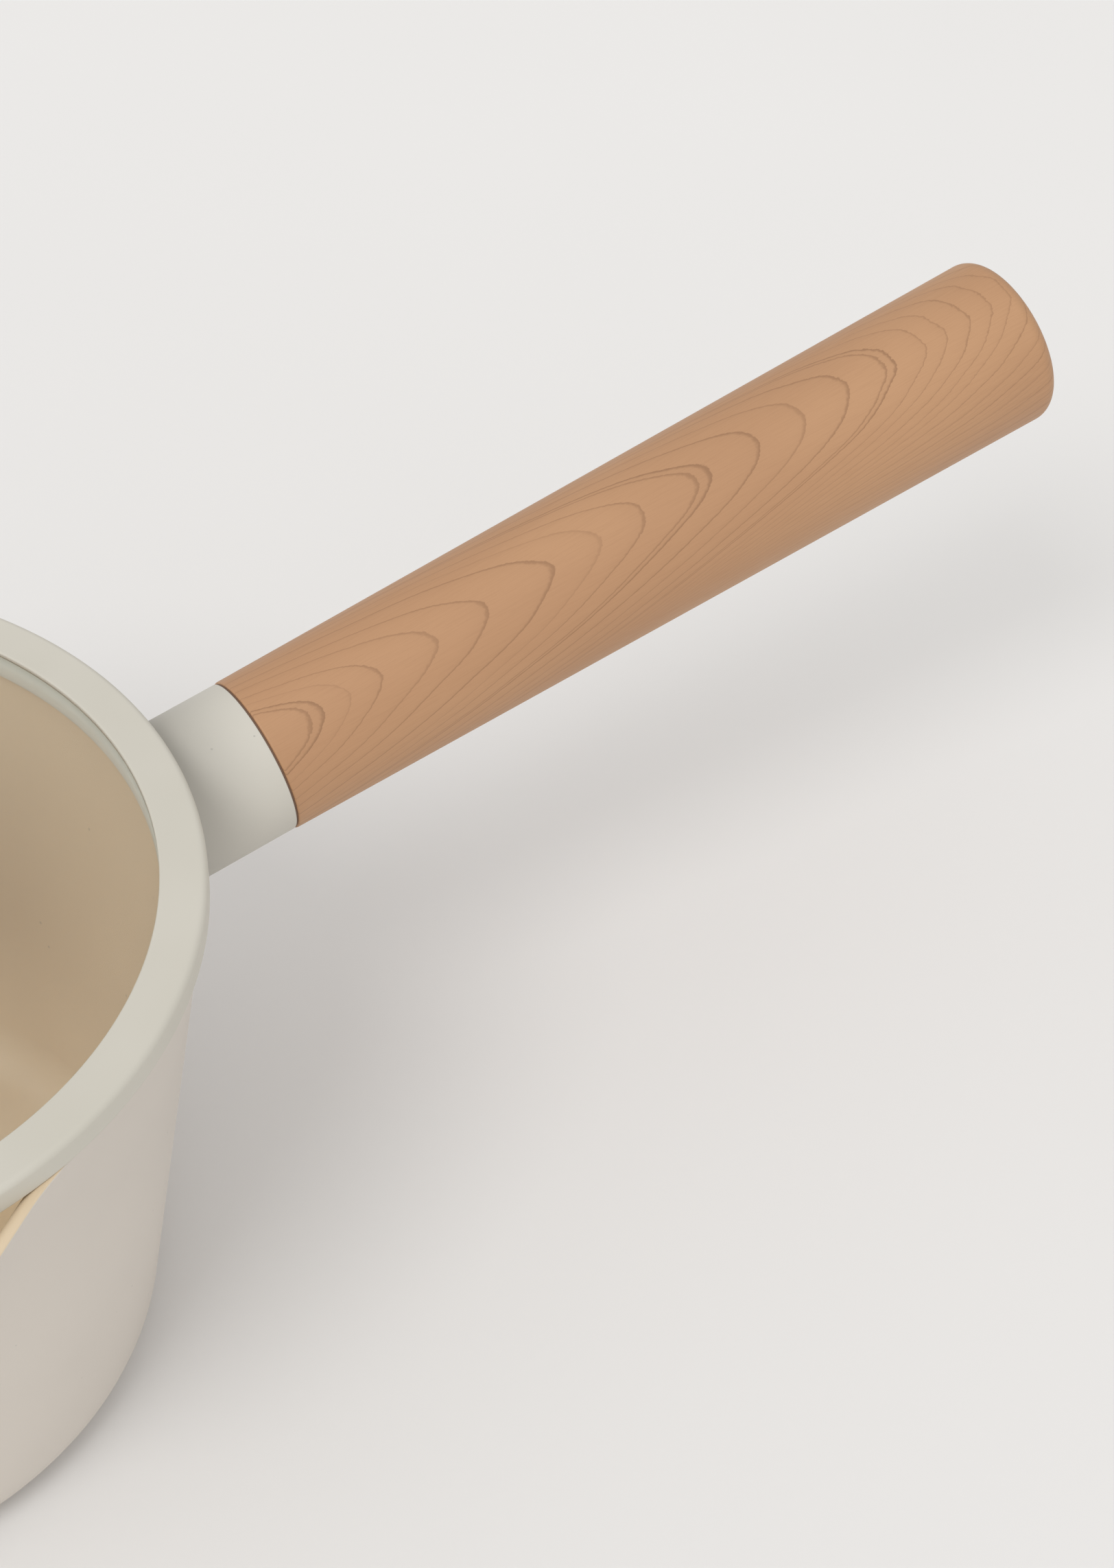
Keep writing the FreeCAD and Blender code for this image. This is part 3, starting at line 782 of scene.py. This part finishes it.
# ---- Pan ----
def spout_reach(angle, height, inset):
    """Distance from the pan's axis to a spout's face, moved in by the inset.

    Each spout is a triangle with a rounded tip that slides outwards with height. A ray from the
    axis meets either the tip's circle or a straight side, whichever is nearer. Past the ray that
    meets a side squarely the side's reach fades, so that it never shows.
    """
    off = np.abs((angle + math.pi) % math.pi - math.pi / 2)
    square = math.pi / 2 - SPOUT_HALF_ANGLE
    past = np.maximum(off - square, 0.0)
    off = np.minimum(off, square)
    tip = SPOUT_TIP - inset - (RIM_HEIGHT - height) * SPOUT_SLANT
    circle = SPOUT_TIP_RADIUS - inset
    middle = tip - circle
    corner = middle + circle / math.sin(SPOUT_HALF_ANGLE)
    side = corner * math.sin(SPOUT_HALF_ANGLE) / np.sin(SPOUT_HALF_ANGLE + off) * np.cos(past)
    under = np.maximum(circle ** 2 - (middle * np.sin(off)) ** 2, 0.0)
    round_tip = middle * np.cos(off) + np.sqrt(under)
    touch_angle = np.arctan2(circle * math.sin(square), middle + circle * math.cos(square))
    return np.where(off < touch_angle, round_tip, side)


def pan_profile():
    """Section of the pan from the middle of the base, out, up, over the rim, down and in."""
    inner_low = BASE_RADIUS + FLOOR * WALL_SLOPE - WALL_ACROSS
    inner_top = RIM_RADIUS - WALL_ACROSS
    corners = [(PAN_POLE, RECESS_HEIGHT),
               (RECESS_RADIUS, RECESS_HEIGHT, RECESS_ROUND),
               (RECESS_RADIUS, 0, RECESS_ROUND),
               (BASE_RADIUS, 0, BASE_CORNER),
               (RIM_RADIUS, RIM_HEIGHT, RIM_ROUND),
               (inner_top, RIM_HEIGHT, RIM_INNER_ROUND),
               (inner_low, FLOOR, INNER_CORNER),
               (PAN_POLE, FLOOR)]
    return divided(rounded(corners, steps=10), LONGEST_FACE)


def pan_points(profile):
    """The pan's section carried round, with both spouts.

    Each row has a plain radius; where a spout's face lies further out, the radius passes over to
    it through a soft maximum. The inset from the wall's outer line moves the spout's face in with
    the wall's thickness.
    """
    radius, height = profile[:, 0], profile[:, 1]
    wall_line = RIM_RADIUS - (RIM_HEIGHT - height) * WALL_SLOPE
    inset = np.clip((wall_line - radius) / WALL_ACROSS, 0, 1) * WALL
    angle = angles(PAN_COLUMNS)
    plain = radius[:, None] + 0 * angle
    face = spout_reach(angle[None, :], height[:, None], inset[:, None])
    face = np.where((height > SPOUT_LOW)[:, None], face, 0.0)
    near = np.maximum(SPOUT_BLEND - np.abs(plain - face), 0.0) / SPOUT_BLEND
    reach = np.maximum(plain, face) + near ** 2 * SPOUT_BLEND / 4
    return np.stack([reach * np.cos(angle), reach * np.sin(angle),
                     height[:, None] + 0 * angle], axis=-1)


def make_pan():
    """Pan with its outside coat, and the cream one from the top of the rim inwards."""
    profile = pan_profile()
    top = np.argmax(profile[:, 1] > RIM_HEIGHT - CREAM_BELOW_RIM)
    inside = (np.arange(len(profile)) >= top).astype(int)
    piece = skin("pan_shell", pan_points(profile), (pan_outside_coat(), pan_inside_coat()),
                 row_material=inside)
    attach(piece, "pan")
    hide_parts("pan_body")


# ---- Handle ----
WALL_STEPS = 30
SLEEVE_ROWS = 8


def collar_points():
    """Cylinder about the handle's axis whose near end follows the pan's sloping wall.

    For each line along the cylinder the place where it meets the wall is found by steps, each as
    long as the distance still missing.
    """
    angle = angles(COLLAR_COLUMNS)
    ring = COLLAR_RADIUS * (np.cos(angle)[:, None] * HANDLE_UP
                            + np.sin(angle)[:, None] * HANDLE_SIDE)
    start = np.full(COLLAR_COLUMNS, RIM_RADIUS)
    for _ in range(WALL_STEPS):
        point = HANDLE_ORIGIN + start[:, None] * HANDLE_AXIS + ring
        wall = RIM_RADIUS - (RIM_HEIGHT - point[:, 2]) * WALL_SLOPE
        start += wall - np.hypot(point[:, 0], point[:, 1])
    start -= COLLAR_OVERLAP
    straight_end = COLLAR_END - COLLAR_FRONT
    share = np.linspace(0, 1, SLEEVE_ROWS)[:, None, None]
    begin = HANDLE_ORIGIN + start[:, None] * HANDLE_AXIS + ring
    finish = HANDLE_ORIGIN + straight_end * HANDLE_AXIS + ring
    front = rounded([(COLLAR_RADIUS, straight_end),
                     (COLLAR_RADIUS, COLLAR_END, COLLAR_ROUND),
                     (COLLAR_BORE, COLLAR_END)], steps=6)
    return np.concatenate([begin + share * (finish - begin),
                           turned_on_handle(front[1:], COLLAR_COLUMNS)])


def make_collar():
    """Coated sleeve between the pan and the wood."""
    piece = skin("collar_sleeve", collar_points(), (collar_coat_painted_shadow(),))
    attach(piece, "pan")
    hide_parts("handle_collar")


def make_seam():
    """Thin dark ring in the seam, a little under the collar's surface."""
    radius = COLLAR_RADIUS - SEAM_INSET
    profile = rounded([(SCREW_BORE, COLLAR_END),
                       (radius, COLLAR_END, SEAM_ROUND),
                       (radius, GRIP_START, SEAM_ROUND),
                       (SCREW_BORE, GRIP_START)])
    piece = skin("seam_ring", turned_on_handle(profile, SEAM_COLUMNS), (seam_rubber(),), ring=True)
    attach(piece, "pan")
    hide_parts("seam_gasket")


def make_grip():
    """Turned handle that widens to a rounded, slightly crowned end with a hole for the plug."""
    profile = rounded([(SCREW_BORE, GRIP_START),
                       (GRIP_START_RADIUS, GRIP_START, GRIP_START_ROUND),
                       (GRIP_END_RADIUS, GRIP_END - GRIP_CROWN, GRIP_END_ROUND),
                       (CROWN_RADIUS, GRIP_END, CROWN_ROUND),
                       (END_PLUG_HOLE, GRIP_END, END_PLUG_ROUND),
                       (END_PLUG_HOLE, GRIP_END - END_PLUG_LENGTH)], steps=10)
    piece = skin("grip_turned", turned_on_handle(profile, GRIP_COLUMNS), (grip_wood(),))
    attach(piece, "pan")
    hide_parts("grip")


def make_end_plug():
    """Wooden plug that closes the screw's hole, flush with the crown."""
    profile = rounded([(WOOD_POLE, GRIP_END - END_PLUG_LENGTH),
                       (END_PLUG_RADIUS, GRIP_END - END_PLUG_LENGTH, END_PLUG_ROUND),
                       (END_PLUG_RADIUS, GRIP_END, END_PLUG_ROUND),
                       (WOOD_POLE, GRIP_END)])
    piece = skin("grip_end_plug", turned_on_handle(profile, END_PLUG_COLUMNS), (plug_wood(),))
    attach(piece, "pan")
    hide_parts("end_plug")


# ---- Lid ----
def make_rim():
    """Silicone ring with a groove for the glass, a band over the pan's rim and a plug inside it."""
    groove = GLASS_RADIUS + GROOVE_GAP
    profile = rounded([(BAND_INNER, RIM_PLUG_BOTTOM, RIM_PLUG_ROUND),
                       (RIM_PLUG_RADIUS, RIM_PLUG_BOTTOM, RIM_PLUG_ROUND),
                       (RIM_PLUG_RADIUS, RIM_HEIGHT),
                       (LID_RADIUS, RIM_HEIGHT, BAND_LOW_ROUND),
                       (LID_RADIUS, BAND_TOP, BAND_TOP_ROUND),
                       (BAND_INNER, BAND_TOP, BAND_INNER_ROUND),
                       (BAND_INNER, GLASS_TOP),
                       (groove, GLASS_TOP),
                       (groove, GLASS_LOW),
                       (BAND_INNER, GLASS_LOW)])
    piece = skin("silicone_rim", turned(profile, RIM_COLUMNS), (rim_silicone(),), ring=True)
    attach(piece, "lid")
    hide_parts("lid_rim")


def glass_profile():
    """Section of the glass: flat border, shallow dome, rounded edge, hole in the middle.

    The dome is a parabola over the border, joined to the border's flat by a soft maximum. Near
    the edge both faces draw together along a quarter circle.
    """
    flat_end = GLASS_RADIUS - GLASS_ROUND
    rounding = np.linspace(GLASS_EDGE_START, math.pi / 2, GLASS_EDGE_ROWS)
    radius = np.concatenate([np.linspace(GLASS_HOLE, flat_end, GLASS_ROWS),
                             GLASS_RADIUS - GLASS_ROUND * (1 - np.sin(rounding))])
    dome = GLASS_RISE * (1 - (radius / GLASS_DOME_EDGE) ** 2)
    blend = np.maximum(GLASS_BLEND - np.abs(dome), 0) ** 2 / (4 * GLASS_BLEND)
    rise = np.maximum(dome, 0) + blend
    share = np.maximum(radius - flat_end, 0) / GLASS_ROUND
    shrink = GLASS_ROUND * (1 - np.sqrt(np.maximum(1 - share ** 2, 0)))
    upper = np.stack([radius, GLASS_TOP + rise - shrink], axis=1)
    lower = np.stack([radius, GLASS_LOW + rise + shrink], axis=1)
    return np.concatenate([upper, lower[::-1]])


def make_glass():
    """Clear glass of the lid."""
    rows = turned(glass_profile(), GLASS_COLUMNS)
    piece = skin("glass_pane", rows, (lid_glass_clear(),), ring=True)
    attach(piece, "lid")
    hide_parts("lid_glass")


def make_knob_foot():
    """Coated foot between the glass and the knob."""
    profile = rounded([(FOOT_BORE, FOOT_BOTTOM),
                       (FOOT_RADIUS, FOOT_BOTTOM, FOOT_LOW_ROUND),
                       (FOOT_RADIUS, KNOB_BOTTOM, FOOT_TOP_ROUND),
                       (FOOT_BORE, KNOB_BOTTOM)])
    piece = skin("knob_foot", turned(profile, FOOT_COLUMNS), (knob_base_coat(),), ring=True)
    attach(piece, "lid")
    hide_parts("knob_base")


def make_knob():
    """Turned knob that widens to a rounded, slightly crowned top."""
    profile = rounded([(KNOB_BORE, KNOB_BOTTOM),
                       (KNOB_LOW_RADIUS, KNOB_BOTTOM, KNOB_LOW_ROUND),
                       (KNOB_TOP_RADIUS, KNOB_TOP - KNOB_CROWN, KNOB_TOP_ROUND),
                       (CROWN_RADIUS, KNOB_TOP, CROWN_ROUND),
                       (WOOD_POLE, KNOB_TOP)], steps=12)
    piece = skin("knob_turned", turned(profile, KNOB_COLUMNS), (knob_wood(),))
    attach(piece, "lid")
    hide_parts("knob")


# ---- Carried-over nodes ----
def finish_nodes(finish, nodes):
    """Give one finish to nodes whose shape stays as it is."""
    for node in nodes:
        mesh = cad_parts[node].data
        mesh.materials.clear()
        mesh.materials.append(finish)


# ---- Floor, light and camera ----
FLOOR_HALF = 12.0
FLOOR_DROP = -0.1 * MM


def lay_floor():
    """Wide paper floor, a hair under the base so that the two never share a plane."""
    corners = [(-FLOOR_HALF, -FLOOR_HALF, FLOOR_DROP), (FLOOR_HALF, -FLOOR_HALF, FLOOR_DROP),
               (FLOOR_HALF, FLOOR_HALF, FLOOR_DROP), (-FLOOR_HALF, FLOOR_HALF, FLOOR_DROP)]
    mesh = bpy.data.meshes.new("floor")
    mesh.from_pydata(corners, [], [(0, 1, 2, 3)])
    mesh.materials.append(floor_paper())
    floor = bpy.data.objects.new("floor", mesh)
    bpy.context.scene.collection.objects.link(floor)


SKY_COLOUR = (1.0, 0.995, 0.985, 1.0)
SKY_TOWARDS = (-0.68, -0.42, 0.60)
SKY_MIDDLE = 0.71
SKY_SWING = 0.32


def light_sky():
    """Soft light from everywhere, stronger from one side and above.

    Its strength is the middle plus the swing times the direction's share towards that side.
    """
    world = bpy.data.worlds.new("studio")
    world.use_nodes = True
    sky = Graph(world.node_tree)
    way = sky.add("ShaderNodeTexCoord").outputs["Generated"]
    facing = sky.add("ShaderNodeVectorMath", {"operation": "DOT_PRODUCT"}, _0=way,
                     _1=SKY_TOWARDS).outputs["Value"]
    background = world.node_tree.nodes["Background"]
    background.inputs["Color"].default_value = SKY_COLOUR
    strength = sky.math("MULTIPLY_ADD", facing, SKY_SWING, SKY_MIDDLE)
    sky.put(background.inputs["Strength"], strength)
    bpy.context.scene.world = world


KEY_TOWARDS = Vector((-0.74, -0.41, 1.0))
KEY_WIDTH = math.radians(24)
KEY_STRENGTH = 0.79


def light_key():
    """Wide soft lamp above, on the side away from the handle."""
    data = bpy.data.lights.new("key_light", "SUN")
    data.angle = KEY_WIDTH
    data.energy = KEY_STRENGTH
    lamp = bpy.data.objects.new("key_light", data)
    bpy.context.scene.collection.objects.link(lamp)
    lamp.rotation_euler = KEY_TOWARDS.normalized().to_track_quat("Z", "Y").to_euler()


CAMERA_PLACE = Vector((-0.10897, -0.44350, 0.53851))
CAMERA_YAW = -0.5641
CAMERA_PITCH = 0.7539
CAMERA_ROLL = -0.0038
CAMERA_LENS = 83.5
CAMERA_SENSOR = 36.0
CAMERA_NEAR = 0.01


def camera_turn():
    """Camera's axes from its yaw about the upright, its pitch downwards and its roll."""
    ahead = Vector((-math.sin(CAMERA_YAW) * math.cos(CAMERA_PITCH),
                    math.cos(CAMERA_YAW) * math.cos(CAMERA_PITCH),
                    -math.sin(CAMERA_PITCH)))
    level_right = Vector((math.cos(CAMERA_YAW), math.sin(CAMERA_YAW), 0.0))
    level_above = level_right.cross(ahead)
    right = math.cos(CAMERA_ROLL) * level_right + math.sin(CAMERA_ROLL) * level_above
    above = -math.sin(CAMERA_ROLL) * level_right + math.cos(CAMERA_ROLL) * level_above
    return Matrix((right, above, -ahead)).transposed().to_4x4()


def place_camera():
    """Camera on the pan's -y side, looking down across it towards the handle."""
    data = bpy.data.cameras.new("camera")
    data.lens = CAMERA_LENS
    data.sensor_width = CAMERA_SENSOR
    data.clip_start = CAMERA_NEAR
    camera = bpy.data.objects.new("camera", data)
    bpy.context.scene.collection.objects.link(camera)
    camera.matrix_world = Matrix.Translation(CAMERA_PLACE) @ camera_turn()
    bpy.context.scene.camera = camera
    bpy.context.scene.view_settings.view_transform = "Standard"


make_pan()
make_collar()
make_seam()
make_grip()
make_end_plug()
make_rim()
make_glass()
make_knob_foot()
make_knob()
finish_nodes(disc_steel(), ("induction_disc",))
finish_nodes(fixing_steel(), ("boss_insert", "locating_pins", "tie_screw", "tie_washer",
                              "tie_lock_washer", "knob_washer", "knob_lock_washer", "knob_screw"))
finish_nodes(gasket_silicone(), ("knob_gasket", "glass_grommet"))
finish_nodes(insert_brass(), ("knob_insert",))
lay_floor()
light_sky()
light_key()
place_camera()
